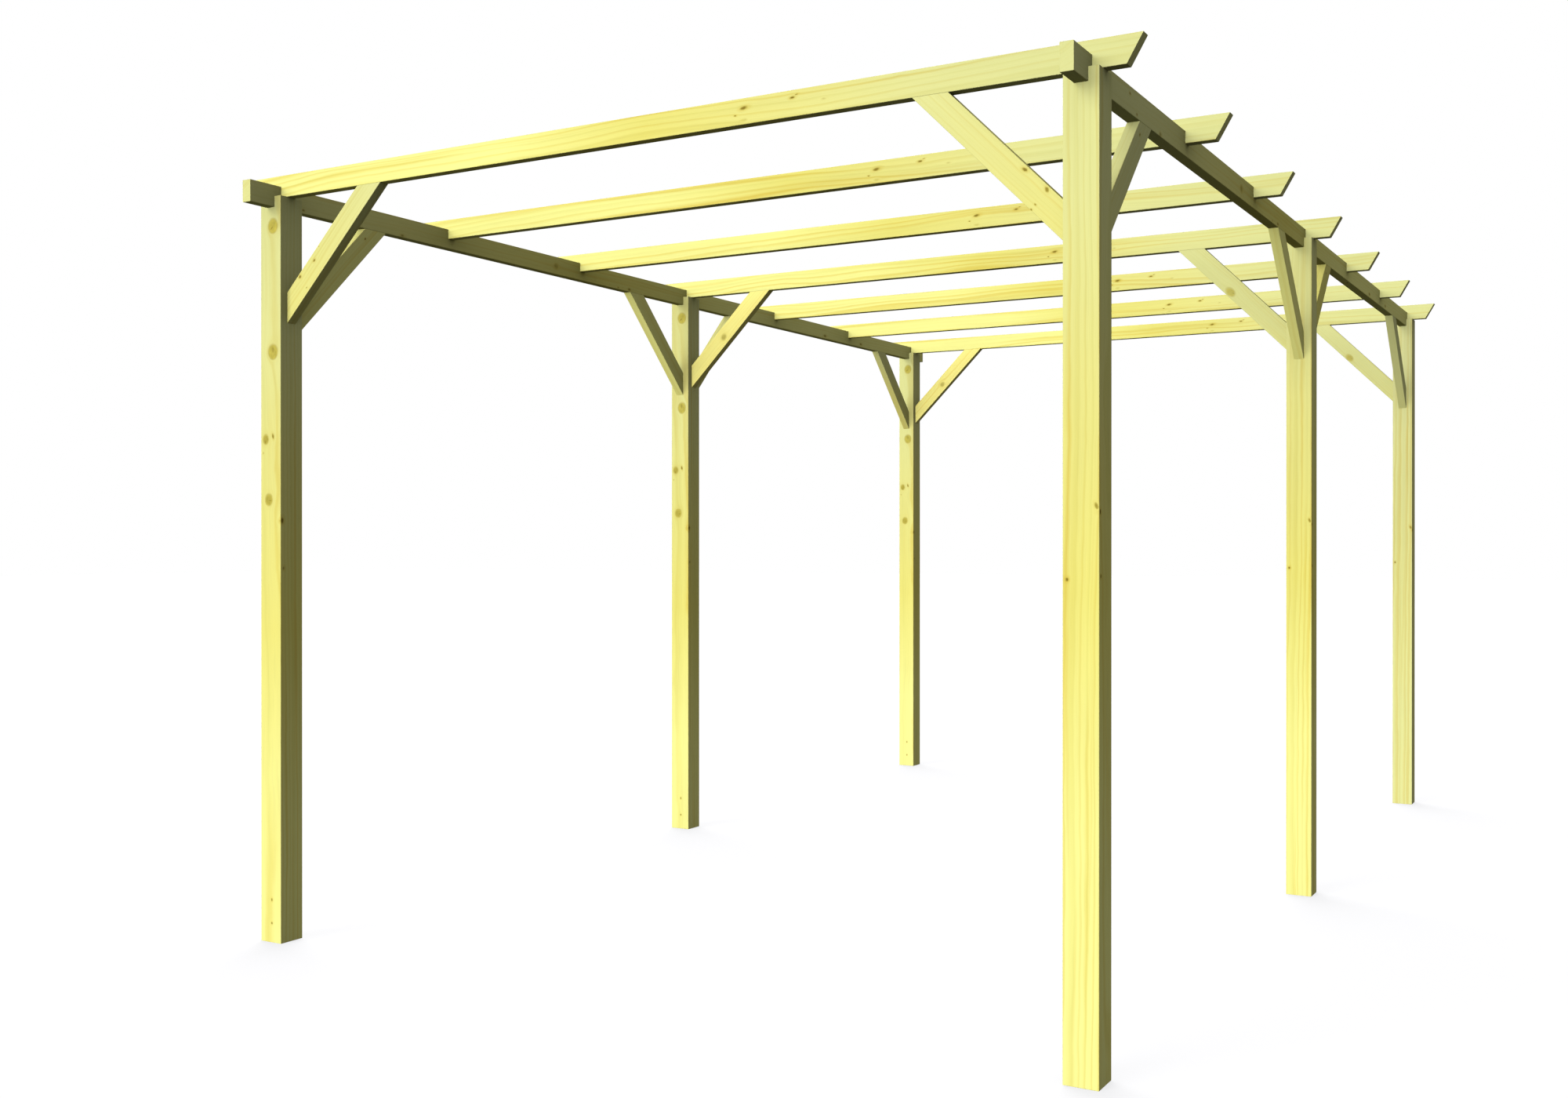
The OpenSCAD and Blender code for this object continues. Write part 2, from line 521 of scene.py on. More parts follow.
for side in ("left", "right"):
    node = f"beam_{side}"
    low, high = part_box(node)
    skins = bar_skins(high.y - low.y, high.z - low.z, high.x - low.x, lengths=3)
    origin = ((low.x + high.x) / 2, low.y, (low.z + high.z) / 2)
    timbers[node] = make_timber(node, skins, origin, BACK, UP)
beam_top = high.z
print("beams:", high.y - low.y, "m long")

# %% [markdown]
# A rafter has both ends undercut, and a square notch over each beam that takes half of its
# height, so that its underside comes down to the tips of the forks. Its slanted ends are sloping
# rings. At a notch, two rings share one station: the full section and the one left above the
# beam. The faces between them are the notch's upright walls.

# %% Rafters
UNDERCUT = 30
END_SLOPE = tan(radians(UNDERCUT))


def rafter_skins(length, height, thickness, notch_depth, notches):
    """Skins of a rafter whose notches are given as pairs of distances along it."""
    half = thickness / 2
    over = notch_depth - height / 2
    span = (0, length)

    def full(inset=0.0):
        return cross_section(-height / 2, height / 2, half, marks=(over,), inset=inset)

    cut = cross_section(over, height / 2, half, marks=(over,), low_round=0)
    near, near_facing = saw_cut(full, END_SLOPE * height / 2, -END_SLOPE, -1)
    far, far_facing = saw_cut(full, length - END_SLOPE * height / 2, END_SLOPE, 1)
    (first, second), (third, fourth) = notches
    thirds = [ring(full(), length / 3), ring(full(), length * 2 / 3)]
    skins = [end_plate(near[0], near_facing, 0), end_plate(far[1], far_facing, 1)]
    skins.append(sleeve(near + [ring(full(), first)], span, lengths=3))
    skins.append(sleeve([ring(full(), second)] + thirds + [ring(full(), third)], span, lengths=3))
    skins.append(sleeve([ring(full(), fourth)] + far, span, lengths=3))
    for number, (start, end) in enumerate(notches):
        skins.append(sleeve([ring(cut, start), ring(cut, end)], span, lengths=3))
        rings = [ring(full(), start, facing=ALONG), ring(cut, start, facing=ALONG)]
        skins.append(sleeve(rings, (start - half, start + half), cell_number=2 + 2 * number))
        rings = [ring(cut, end, facing=-ALONG), ring(full(), end, facing=-ALONG)]
        skins.append(sleeve(rings, (end - half, end + half), cell_number=3 + 2 * number))
    return skins


rafter_names = sorted(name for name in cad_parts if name.removeprefix("rafter_").isdigit())
half_notch = (beam_thickness + JOINT_PLAY) / 2
for node in rafter_names:
    low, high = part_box(node)
    notches = []
    for side in ("left", "right"):
        beam_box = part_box(f"beam_{side}")
        middle = (beam_box[0].x + beam_box[1].x) / 2 - low.x
        notches.append((middle - half_notch, middle + half_notch))
    skins = rafter_skins(high.x - low.x, high.z - low.z, high.y - low.y, beam_top - low.z, notches)
    origin = (low.x, (low.y + high.y) / 2, (low.z + high.z) / 2)
    timbers[node] = make_timber(node, skins, origin, RIGHT, UP)
print("rafters:", len(rafter_names), "of", round(high.x - low.x, 3), "m")

# %% [markdown]
# A brace runs up at 45 degrees from the side of a post to the underside of the timber that it
# props. It is sawn to sit flat on both, so its foot is cut upright and its head level. Measured
# along the brace, both cuts are slopes of one to one, so it is the bar of a beam, sawn aslant.

# %% Braces
BRACE_WIDTH = 0.070


def make_brace(node, lean):
    """Builds a brace that leans away from its post in the direction given. From above, its
    shorter side is its thickness and its longer one its reach."""
    low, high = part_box(node)
    thickness, reach = sorted((high - low)[:2])
    middle_length = reach * sqrt(2) - BRACE_WIDTH
    origin = (np.array(low) + np.array(high)) / 2 - lean * reach / 2
    origin[2] = high.z - middle_length / sqrt(2)
    skins = bar_skins(middle_length, BRACE_WIDTH, thickness, slope=1)
    along = (lean + UP) / sqrt(2)
    timbers[node] = make_timber(node, skins, origin, along, (UP - lean) / sqrt(2))
    return middle_length


for row in ("front", "middle", "back"):
    for side, inward in (("left", RIGHT), ("right", -RIGHT)):
        make_brace(f"rafter_brace_{row}_{side}", inward)
        if row == "middle":
            make_brace(f"beam_brace_middle_{side}_forward", -BACK)
            make_brace(f"beam_brace_middle_{side}_backward", BACK)
        else:
            brace_length = make_brace(f"beam_brace_{row}_{side}", BACK if row == "front" else -BACK)
print("braces:", round(brace_length, 3), "m along the middle; timbers in all:", len(timbers))

# %% [markdown]
# Wood grows in shells round a pith, one a year, each ending in a thin dense line. A plank shows
# those shells where its faces cut them. So the pattern is worked out in three dimensions, as the
# distance from the pith: on a face it gives lines, arches where the log tapers, and arcs on the
# ends, and it runs on correctly from face to face. A painted-on stripe could do none of that.
# Each pattern of noise has its own number of repeats a metre along, across and through.

# %% Growth rings
MASKS = ("Line", "Hairline", "Fibre", "Year", "Cloud", "Streak")
ORIGIN = (0, 0, 0)
DRIFTS = (1.1, 3.0, 3.0)
RIPPLES = (7.0, 22.0, 22.0)
PATCHES = (2.5, 60.0, 60.0)
FIBRES = (14.0, 700.0, 700.0)
CLOUDS = (1.6, 14.0, 14.0)
MIDDLE_GREY = (0.5, 0.5, 0.5)
TAPER = 0.006
UNEVENNESS = 1.1
DARKEST = 0.82
HAIRLINES_A_YEAR = 4.3


def growth_rings():
    """Distance from the pith, with slow drift along the log, cut into years by its ring width.
    A year's line grows darker from its start up to DARKEST and ends with the year."""
    inputs = {"Point": ORIGIN, "Pith": ORIGIN, "Ring Width": 0.01, "Drift": 0.0, "Ripple": 0.0,
              "Seed": 0.0}
    tree, entry, leave = new_group("Growth rings", inputs, {title: "Float" for title in MASKS})
    point = vector_maths(tree, "SUBTRACT", entry["Point"], entry["Pith"])
    along = parts_of(tree, point)["X"]
    shift = put(tree, "ShaderNodeCombineXYZ", {"X": entry["Seed"], "Y": entry["Seed"]}).outputs[0]

    def pattern(repeats, detail):
        place = vector_maths(tree, "MULTIPLY_ADD", entry["Point"], repeats, shift)
        return noise(tree, place, 1.0, detail)

    slow = vector_maths(tree, "SUBTRACT", pattern(DRIFTS, 1.0)["Color"], MIDDLE_GREY)
    drifted = vector_maths(tree, "ADD", point, scaled(tree, slow, entry["Drift"]))
    flat = vector_maths(tree, "MULTIPLY", drifted, (0, 1, 1))
    radius = maths(tree, "MULTIPLY_ADD", along, -TAPER, vector_maths(tree, "LENGTH", flat))
    ripple = maths(tree, "SUBTRACT", pattern(RIPPLES, 2.0)[0], 0.5)
    radius = maths(tree, "MULTIPLY_ADD", ripple, entry["Ripple"], radius)
    years = maths(tree, "DIVIDE", radius, entry["Ring Width"])
    feeds = {"W": years, "Scale": 0.45, "Detail": 1.0}
    uneven = put(tree, "ShaderNodeTexNoise", feeds, noise_dimensions="1D").outputs[0]
    years = maths(tree, "MULTIPLY_ADD", uneven, UNEVENNESS, years)
    feeds = {"W": maths(tree, "ADD", maths(tree, "FLOOR", years), entry["Seed"])}
    luck = put(tree, "ShaderNodeTexWhiteNoise", feeds, noise_dimensions="1D").outputs["Value"]
    part = maths(tree, "FRACT", years)
    other_luck = maths(tree, "FRACT", times(tree, luck, 7.0))
    rise = ramp(tree, part, ramp(tree, other_luck, 0.0, 1.0, low=0.1, high=0.6), DARKEST)
    drop = ramp(tree, part, DARKEST, 1.0, low=1.0, high=0.0)
    line = times(tree, rise, drop)
    fine = ramp(tree, maths(tree, "PINGPONG", times(tree, years, HAIRLINES_A_YEAR), 0.5), 0.1, 0.5)
    patchy = ramp(tree, pattern(PATCHES, 1.0)[0], 0.35, 0.7)
    feeds = {"X": times(tree, along, 0.9), "Y": years, "Z": entry["Seed"]}
    bands = noise(tree, put(tree, "ShaderNodeCombineXYZ", feeds).outputs[0], 0.8, 2.0)[0]
    give(tree, leave, {
        "Line": times(tree, line, ramp(tree, luck, 0.0, 1.0, low=0.2, high=1.0)),
        "Hairline": times(tree, fine, patchy),
        "Fibre": pattern(FIBRES, 3.0)[0],
        "Year": luck,
        "Cloud": pattern(CLOUDS, 2.0)[0],
        "Streak": ramp(tree, bands, 0.52, 0.72),
    })
    return tree


rings_group = growth_rings()
print("growth rings:", len(rings_group.nodes), "nodes")

# %% [markdown]
# A knot is the foot of a branch: a cone that starts at the pith and widens outwards. Where a
# face cuts it across it shows as an eye, and the grain parts round it as water does round a
# pier. The group gives the place in the eye, whose length is 1 on the branch's skin, and bends
# the point at which the rings are read, by the stream line of a flow past a cylinder. A branch
# hands what it found to the next, so any number can be strung together. Its kind says how dark
# it is, how plainly it shows, and its own seed.

# %% Branch knots
FAR_OFF = (100, 0, 0)
PARTING = 0.9
LEAST_RADIUS = 1e-4


def branch_knot():
    """The place in the branch's eye, as an offset from its axis over its radius there, and the
    grain's bend. Where an earlier branch is nearer, its eye and kind are kept."""
    inputs = {"Point": ORIGIN, "Bent": ORIGIN, "Eye": FAR_OFF, "Kind": ORIGIN, "Root": ORIGIN,
              "Heading": (0, 0, 1), "Flare": 0.2, "Stretch": 1.2, "Slant": 0.0, "Own Kind": ORIGIN}
    results = {"Bent": "Vector", "Eye": "Vector", "Kind": "Vector"}
    tree, entry, leave = new_group("Branch knot", inputs, results)
    offset = vector_maths(tree, "SUBTRACT", entry["Point"], entry["Root"])
    run = vector_maths(tree, "DOT_PRODUCT", offset, entry["Heading"])
    aside = vector_maths(tree, "SUBTRACT", offset, scaled(tree, entry["Heading"], run))
    along, across, through = parts_of(tree, aside)
    rise = times(tree, along, entry["Slant"])
    feeds = {"X": maths(tree, "DIVIDE", along, entry["Stretch"]),
             "Y": maths(tree, "SUBTRACT", across, rise), "Z": through}
    radius = maths(tree, "MAXIMUM", times(tree, run, entry["Flare"]), LEAST_RADIUS)
    eye = put(tree, "ShaderNodeCombineXYZ", feeds).outputs[0]
    eye = scaled(tree, eye, maths(tree, "DIVIDE", 1.0, radius))
    distance = vector_maths(tree, "LENGTH", eye)
    fading = maths(tree, "MAXIMUM", maths(tree, "POWER", distance, 2.0), 1.0)
    push = maths(tree, "DIVIDE", -PARTING, fading)
    sideways = scaled(tree, vector_maths(tree, "MULTIPLY", aside, (0, 1, 1)), push)
    nearer = maths(tree, "LESS_THAN", distance, vector_maths(tree, "LENGTH", entry["Eye"]))
    give(tree, leave, {
        "Bent": vector_maths(tree, "ADD", entry["Bent"], sideways),
        "Eye": blend(tree, nearer, entry["Eye"], eye, kind="Vector"),
        "Kind": blend(tree, nearer, entry["Kind"], entry["Own Kind"], kind="Vector"),
    })
    return tree


knot_group = branch_knot()
print("branch knot:", len(knot_group.nodes), "nodes")

# %% [markdown]
# Pressure treatment leaves pine and spruce a pale yellow with a cast of green. The butt of the
# log takes it brightest, and it turns golden along the middle and cooler towards the tip. One
# colour for all would look like plastic. A ramp of colours, read at a share of the log's length,
# gives each timber its own part of the change. Shares below 0 and above 1 run on past the log.

# %% Colour along the log
# The stump colour is lighter than the butt: painted light, used to lift the front lamp's soft shadow on
# the left rafter braces further back.
PAINTED_LIGHT_STUMP = (0.97, 0.88, 0.27, 1)
BUTT = (0.895, 0.87, 0.285, 1)
HEART = (0.79, 0.73, 0.188, 1)
MIDDLE = (0.76, 0.725, 0.24, 1)
UPPER = (0.725, 0.72, 0.285, 1)
TIP = (0.69, 0.695, 0.285, 1)
LOG = ((-0.4, BUTT), (0.17, BUTT), (0.42, HEART), (0.66, MIDDLE), (0.82, UPPER), (0.98, TIP))
LOG_START, LOG_END = -0.5, 1.0


def log_colour(tree, share):
    """The colour at a share of the log's length: at LOG_START a stump colour lightened as painted light,
    then the stops of LOG.
    """
    span = LOG_END - LOG_START
    place = maths(tree, "DIVIDE", maths(tree, "SUBTRACT", share, LOG_START), span)
    colours = put(tree, "ShaderNodeValToRGB", {0: place})
    stops = colours.color_ramp.elements
    stops[0].color = PAINTED_LIGHT_STUMP
    stops.remove(stops[1])
    for stop, colour in LOG:
        stops.new((stop - LOG_START) / span).color = colour
    return colours.outputs[0]


print("colours along the log:", len(LOG) + 1)

# %% [markdown]
# A big knot is ochre and mottled, with a drying crack from its heart. A small one is dark at its
# heart and fades into the wood round it. A picture of a knot would be the same on every timber.
# Here it all follows from the place in the eye, and the branch's seed turns the crack and moves
# the mottling.

# %% Wood of a knot
OCHRE_KNOT = (0.485, 0.41, 0.06, 1)
DARK_KNOT = (0.20, 0.13, 0.012, 1)
KNOT_RIM = (0.80, 0.68, 0.40, 1)
CRACK = (0.45, 0.36, 0.20, 1)
MOTTLE_SHIFT = (7.1, 3.3, 5.7)


def grey(tree, level):
    """A grey as light as a number, as a socket."""
    return put(tree, "ShaderNodeCombineColor", {0: level, 1: level, 2: level}).outputs[0]


def knot_crack(tree, eye, turn):
    """Mask of a thin crack that runs out from the heart, at a turn in radians. The place in the
    eye is split into its distance out along the crack and its distance off it."""
    along, across, through = parts_of(tree, eye)
    aside = maths(tree, "ADD", across, through)
    over, up = maths(tree, "COSINE", turn), maths(tree, "SINE", turn)
    out = maths(tree, "MULTIPLY_ADD", along, over, times(tree, aside, up))
    off = times(tree, along, up)
    off = maths(tree, "ABSOLUTE", maths(tree, "SUBTRACT", off, times(tree, aside, over)))
    crack = times(tree, ramp(tree, off, 0.02, 0.13, 1.0, 0.0), ramp(tree, out, 0.0, 0.2))
    return times(tree, crack, ramp(tree, out, 0.45, 0.8, 0.7, 0.0))


def knot_wood(tree, eye, nearest, dark, seed):
    """Colour inside a knot: mottled ochre with fine rings, then its rim, crack and dark heart."""
    moved = vector_maths(tree, "ADD", eye, scaled(tree, MOTTLE_SHIFT, seed))
    mottle = noise(tree, moved, 1.5, 3.0)[0]
    turns = maths(tree, "MULTIPLY_ADD", mottle, 9.0, times(tree, nearest, 15.0))
    lightness = maths(tree, "MULTIPLY_ADD", mottle, 0.8, 0.62)
    lightness = maths(tree, "MULTIPLY_ADD", maths(tree, "SINE", turns), 0.05, lightness)
    knot = stain(tree, 1.0, OCHRE_KNOT, grey(tree, lightness))
    knot = stain(tree, ramp(tree, nearest, 0.72, 0.95, 0.0, 0.7), knot, KNOT_RIM)
    knot = stain(tree, knot_crack(tree, eye, seed), knot, CRACK)
    heart = times(tree, ramp(tree, nearest, 0.25, 1.0, 1.0, 0.2), dark)
    return blend(tree, heart, knot, DARK_KNOT)


print("wood of a knot: ready")

# %% [markdown]
# One group puts the wood together. On the colour of the log come the year lines and bands, a
# little greener or browner than the rest and weaker towards the tip, then fine hairlines and
# fibres, and the knots on top. Each material could mix its own masks, but here the order and the
# strengths are set once for all timbers.

# %% Treated softwood
GREEN_LINE = (0.87, 0.87, 0.72, 1)
BROWN_LINE = (0.90, 0.79, 0.52, 1)
WEATHERED = (0.69, 0.70, 0.33, 1)
HAIRLINE_SHADE = -0.07
FIBRE_SHADE = 0.08
CLOUD_SHADE = 0.12


def treated_softwood():
    """Base colour by the share of the length, shaded by the grain's masks and then the knots'."""
    inputs = {title: 0.0 for title in (*MASKS, "Share", "Contrast", "Greying")}
    inputs |= {"Eye": ORIGIN, "Kind": ORIGIN}
    results = {"Colour": "Color", "Roughness": "Float", "Height": "Float"}
    tree, entry, leave = new_group("Treated softwood", inputs, results)
    wood = blend(tree, entry["Greying"], log_colour(tree, entry["Share"]), WEATHERED)
    tint = blend(tree, ramp(tree, entry["Year"], 0.45, 0.8), GREEN_LINE, BROWN_LINE)
    contrast = times(tree, entry["Contrast"], ramp(tree, entry["Share"], 0.6, 1.0, 1.0, 0.6))
    wood = stain(tree, times(tree, entry["Line"], contrast), wood, tint)
    wood = stain(tree, times(tree, entry["Streak"], contrast), wood, BROWN_LINE)
    hairline = times(tree, entry["Hairline"], contrast)
    shade = maths(tree, "MULTIPLY_ADD", hairline, HAIRLINE_SHADE, 1.0)
    for title, strength in (("Fibre", FIBRE_SHADE), ("Cloud", CLOUD_SHADE)):
        shade = maths(tree, "MULTIPLY_ADD", maths(tree, "SUBTRACT", entry[title], 0.5), strength, shade)
    wood = stain(tree, 1.0, wood, grey(tree, shade))
    dark, plain, seed = parts_of(tree, entry["Kind"])
    nearest = vector_maths(tree, "LENGTH", entry["Eye"])
    halo = times(tree, ramp(tree, nearest, 0.9, 2.0, 0.6, 0.0), times(tree, dark, plain))
    wood = stain(tree, halo, wood, BROWN_LINE)
    edge = maths(tree, "SUBTRACT", times(tree, plain, 0.8), times(tree, dark, 0.35))
    body = times(tree, ramp(tree, nearest, edge, 1.1, 1.0, 0.0), plain)
    rough = maths(tree, "MULTIPLY_ADD", entry["Fibre"], 0.18, 0.62)
    height = maths(tree, "MULTIPLY_ADD", entry["Line"], 0.35, entry["Fibre"])
    give(tree, leave, {
        "Colour": blend(tree, body, wood, knot_wood(tree, entry["Eye"], nearest, dark, seed)),
        "Roughness": maths(tree, "MULTIPLY_ADD", body, -0.14, rough),
        "Height": maths(tree, "MULTIPLY_ADD", body, 0.5, height),
    })
    return tree


softwood_group = treated_softwood()
print("treated softwood:", len(softwood_group.nodes), "nodes")

# %% [markdown]
# Every timber has branches of its own. One is given by the place where it comes out of a face,
# and the rest follows from that: it starts inside the timber and heads out through the face. The
# branches that can be seen are listed one by one. The far faces get a few that are dealt out by
# a seeded generator, so the frame isn't bare from behind and comes out the same every time.

# %% Branches of a timber
FACES = {"through": (0, 0, 1), "against": (0, 0, -1), "high": (0, 1, 0), "low": (0, -1, 0)}
BRANCH_LEAN = 0.12
BRANCH_DEPTH = 0.03
UNEVEN_EDGE = 0.0022
SEEDS_A_METRE = 10
PALE, DARK = 0.1, 0.8


def branch(face, along, aside, size, stretch, dark, plain=0.9, slant=0.0):
    """A branch that comes out of a face, size metres wide there. Aside is how far off the middle
    of the face it lies. Its place is where it would leave a timber of no thickness."""
    out = np.array(FACES[face], float)
    place = along * ALONG + aside * abs(out[[0, 2, 1]])
    heading = out + BRANCH_LEAN * ALONG
    return {"place": place, "out": out, "heading": heading / np.linalg.norm(heading), "size": size,
            "stretch": stretch, "slant": slant, "kind": (dark, plain, SEEDS_A_METRE * along)}


def branches_out(face, *rows):
    """Branches that come out of one face, each given by the rest of what branch() asks for."""
    return [branch(face, *row) for row in rows]


def dealt_branches(chance, length, faces, widest):
    """One or two branches for each of the given faces, anywhere along them."""
    branches = []
    for face in faces:
        for along in chance.uniform(0.04, 0.96, chance.integers(1, 3)) * length:
            dark = chance.choice([PALE, DARK])
            size = chance.uniform(0.4, 1.0) * (widest if dark == PALE else widest / 2)
            branches.append(branch(face, along, chance.uniform(-0.4, 0.4) * widest, size, 1.4, dark))
    return branches


def string_branches(tree, point, halves, branches):
    """Strings one group node to the next for all branches of a timber, whose half sizes across
    and through are given. Returns the bent point, and the nearest branch's eye and kind."""
    uneven = vector_maths(tree, "SUBTRACT", noise(tree, point, 160.0, 1.0)["Color"], MIDDLE_GREY)
    near = vector_maths(tree, "ADD", point, scaled(tree, uneven, UNEVEN_EDGE))
    bent, eye, kind = point, FAR_OFF, ORIGIN
    for one in branches:
        root = one["place"] + one["out"] * (0, *halves) - one["heading"] * BRANCH_DEPTH
        feeds = {"Point": near, "Bent": bent, "Eye": eye, "Kind": kind, "Root": root,
                 "Heading": one["heading"], "Flare": one["size"] / 2 / BRANCH_DEPTH,
                 "Stretch": one["stretch"], "Slant": one["slant"], "Own Kind": one["kind"]}
        found = group_node(tree, knot_group, feeds)
        bent, eye, kind = found["Bent"], found["Eye"], found["Kind"]
    return bent, eye, kind


print("branches: ready, from", BRANCH_DEPTH, "m deep")

# %% [markdown]
# Every timber gets a material of its own, which says where its pith lay, how wide its rings are
# and which stretch of the log it is. One shared material would cut them all from one place. The
# wood has no gloss, which would show the white floor at flat angles, and what its colour passes
# on to its neighbours is damped, so that the shaded sides stay deep.

# %% Finish of one timber
PASSED_ON = (0.12, 0.12, 0.15, 1)
BUMP_STRENGTH = 0.35
BUMP_HEIGHT = 0.0004


def finish_timber(node, length, halves, branches, seed, pith, ring_width, share, contrast,
                  drift=0.03, ripple=0.0035, greying=0.0):
    """Builds the material of one timber and puts it on. Halves are half the timber's sizes
    across and through. Share says which stretch of the log it is, from butt 0 to tip 1."""
    paint = bpy.data.materials.new(node + "_softwood")
    paint.use_nodes = True
    tree = paint.node_tree
    tree.nodes.clear()
    point = put(tree, "ShaderNodeAttribute", attribute_name="timber").outputs["Vector"]
    bent, eye, kind = string_branches(tree, point, halves, branches)
    feeds = {"Point": bent, "Pith": (0, *pith), "Ring Width": ring_width, "Drift": drift,
             "Ripple": ripple, "Seed": seed}
    grain = group_node(tree, rings_group, feeds)
    steepness = (share[1] - share[0]) / length
    place = maths(tree, "MULTIPLY_ADD", parts_of(tree, point)["X"], steepness, share[0])
    feeds = {title: grain[title] for title in MASKS}
    feeds |= {"Share": place, "Eye": eye, "Kind": kind, "Greying": greying, "Contrast": contrast}
    wood = group_node(tree, softwood_group, feeds)
    bump = {"Strength": BUMP_STRENGTH, "Distance": BUMP_HEIGHT, "Height": wood["Height"]}
    bump = put(tree, "ShaderNodeBump", bump).outputs[0]
    path = tree.nodes.new("ShaderNodeLightPath").outputs
    passed_on = stain(tree, 1.0, wood["Colour"], PASSED_ON)
    colour = blend(tree, path["Is Diffuse Ray"], wood["Colour"], passed_on)
    feeds = {"Base Color": colour, "Roughness": wood["Roughness"], "Normal": bump,
             "Specular IOR Level": 0.0}
    surface = put(tree, "ShaderNodeBsdfPrincipled", feeds).outputs[0]
    put(tree, "ShaderNodeOutputMaterial", {"Surface": surface})
    timbers[node].data.materials.append(paint)


print("finish: one material a timber")

# %% [markdown]
# The posts on the left show two big round knots high up, two lesser ones below them and a few small dark
# ones. Those on the right show only small ones, near their edges. The grain of a post runs up it in
# broad lines that ripple a little. A post runs from the butt at its foot to the tip at its top, so it is
# brighter at the foot and darker and greener higher up: partly the wood's own change, partly painted
# light that grows brighter towards the ground. The back right post is greyer than the others.

# %% Finish of the posts
LEFT_POST = branches_out(
    "against",
    (2.302, 0.010, 0.047, 1.15, 0.1),
    (1.897, 0.010, 0.047, 1.15, 0.1),
    (1.618, -0.023, 0.030, 1.25, 0.35),
    (1.423, -0.009, 0.038, 1.15, 0.25),
    (1.628, 0.010, 0.011, 2.0, 0.8, 0.9, -0.2),
    (1.576, -0.034, 0.006, 1.5, 0.6, 0.6),
) + branches_out(
    "high",
    (1.357, -0.039, 0.016, 1.5, 0.9),
    (1.204, -0.033, 0.012, 1.4, 0.9, 0.6),
) + branches_out(
    "against",
    (0.137, 0.004, 0.008, 1.6, 0.8),
    (0.062, 0.004, 0.007, 1.6, 0.8),
)
RIGHT_POST = branches_out(
    "against",
    (1.369, 0.038, 0.011, 1.7, 0.55, 0.9, -0.2),
    (1.196, -0.034, 0.010, 1.3, 0.9),
) + branches_out(
    "high",
    (1.355, -0.038, 0.013, 1.3, 0.9),
    (1.204, -0.033, 0.009, 1.4, 0.9),
)
DEALT_ON_A_POST = 0.04
SEED = 7

chance = np.random.default_rng(SEED)
# Each post is brighter at its foot and darker higher up: partly the wood's own colour, partly painted
# light that grows towards the ground.
for number, row in enumerate(("front", "middle", "back")):
    for side, own_branches in (("left", LEFT_POST), ("right", RIGHT_POST)):
        node = f"post_{row}_{side}"
        low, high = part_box(node)
        half = (high.x - low.x) / 2
        dealt = dealt_branches(chance, high.z, ("through", "low"), DEALT_ON_A_POST)
        finish_timber(node, high.z, (half, half), own_branches + dealt, seed=3.7 * number,
                      pith=(-0.11, 0.03) if side == "right" else (0.05, 0.12), ring_width=0.0155,
                      share=(-0.08, 0.95) if side == "right" else (0, 1), contrast=0.7,
                      ripple=0.008, greying=0.6 if node == "post_back_right" else 0.0)
print("post finishes:", len(LEFT_POST), "and", len(RIGHT_POST), "branches")

# %% [markdown]
# Beams and rafters show long lines that waver slowly. A rafter has a few dark eye-shaped knots
# to the right of its middle, and a beam has small faint ones all along it.

# %% Finish of the beams and rafters
BEAM = branches_out(
    "through",
    (0.415, 0.015, 0.010, 1.6, 0.7, 0.7),
    (0.471, -0.025, 0.009, 1.6, 0.7, 0.7),
    (0.219, -0.024, 0.010, 1.6, 0.7, 0.7),
    (0.674, -0.029, 0.014, 1.8, 0.7, 0.6),
    (1.540, -0.003, 0.026, 1.3, 0.35, 0.6),
    (1.960, -0.028, 0.008, 1.6, 0.6, 0.7),
    (2.040, -0.025, 0.012, 1.8, 0.8, 0.8),
    (3.790, -0.021, 0.018, 2.4, 0.6, 0.7),
    (4.200, -0.019, 0.016, 2.2, 0.6, 0.7),
)
DEALT_ON_A_BAR = 0.02

for side in ("left", "right"):
    node = f"beam_{side}"
    low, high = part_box(node)
    length = high.y - low.y
    dealt = dealt_branches(chance, length, ("against", "high", "low"), DEALT_ON_A_BAR)
    halves = ((high.z - low.z) / 2, (high.x - low.x) / 2)
    finish_timber(node, length, halves, BEAM + dealt, seed=1.3, pith=(0.09, -0.05), ring_width=0.011,
                  share=(0.97, -0.3) if side == "right" else (0.8, -0.25), contrast=0.45)

RAFTER = branches_out(
    "through",
    (1.910, 0.0085, 0.012, 2.5, 0.9, 0.9, 0.12),
    (2.060, 0.015, 0.009, 2.3, 1.0, 0.9, 0.08),
    (2.073, 0.0215, 0.0038, 3.6, 0.8, 0.8, 0.12),
    (2.154, -0.001, 0.007, 2.8, 0.4, 0.35),
    (1.884, -0.009, 0.005, 1.9, 0.9),
    (1.911, -0.024, 0.010, 2.8, 0.0, 0.4),
)

for number, node in enumerate(rafter_names):
    low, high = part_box(node)
    length = high.x - low.x
    dealt = dealt_branches(chance, length, ("against", "high"), DEALT_ON_A_BAR)
    halves = ((high.z - low.z) / 2, (high.y - low.y) / 2)
    finish_timber(node, length, halves, RAFTER + dealt, seed=2.1 * number, pith=(-0.06, -0.07),
                  ring_width=0.011, drift=0.05, share=(-0.36, 1.11), contrast=0.8)
print("beam and rafter finishes: done")
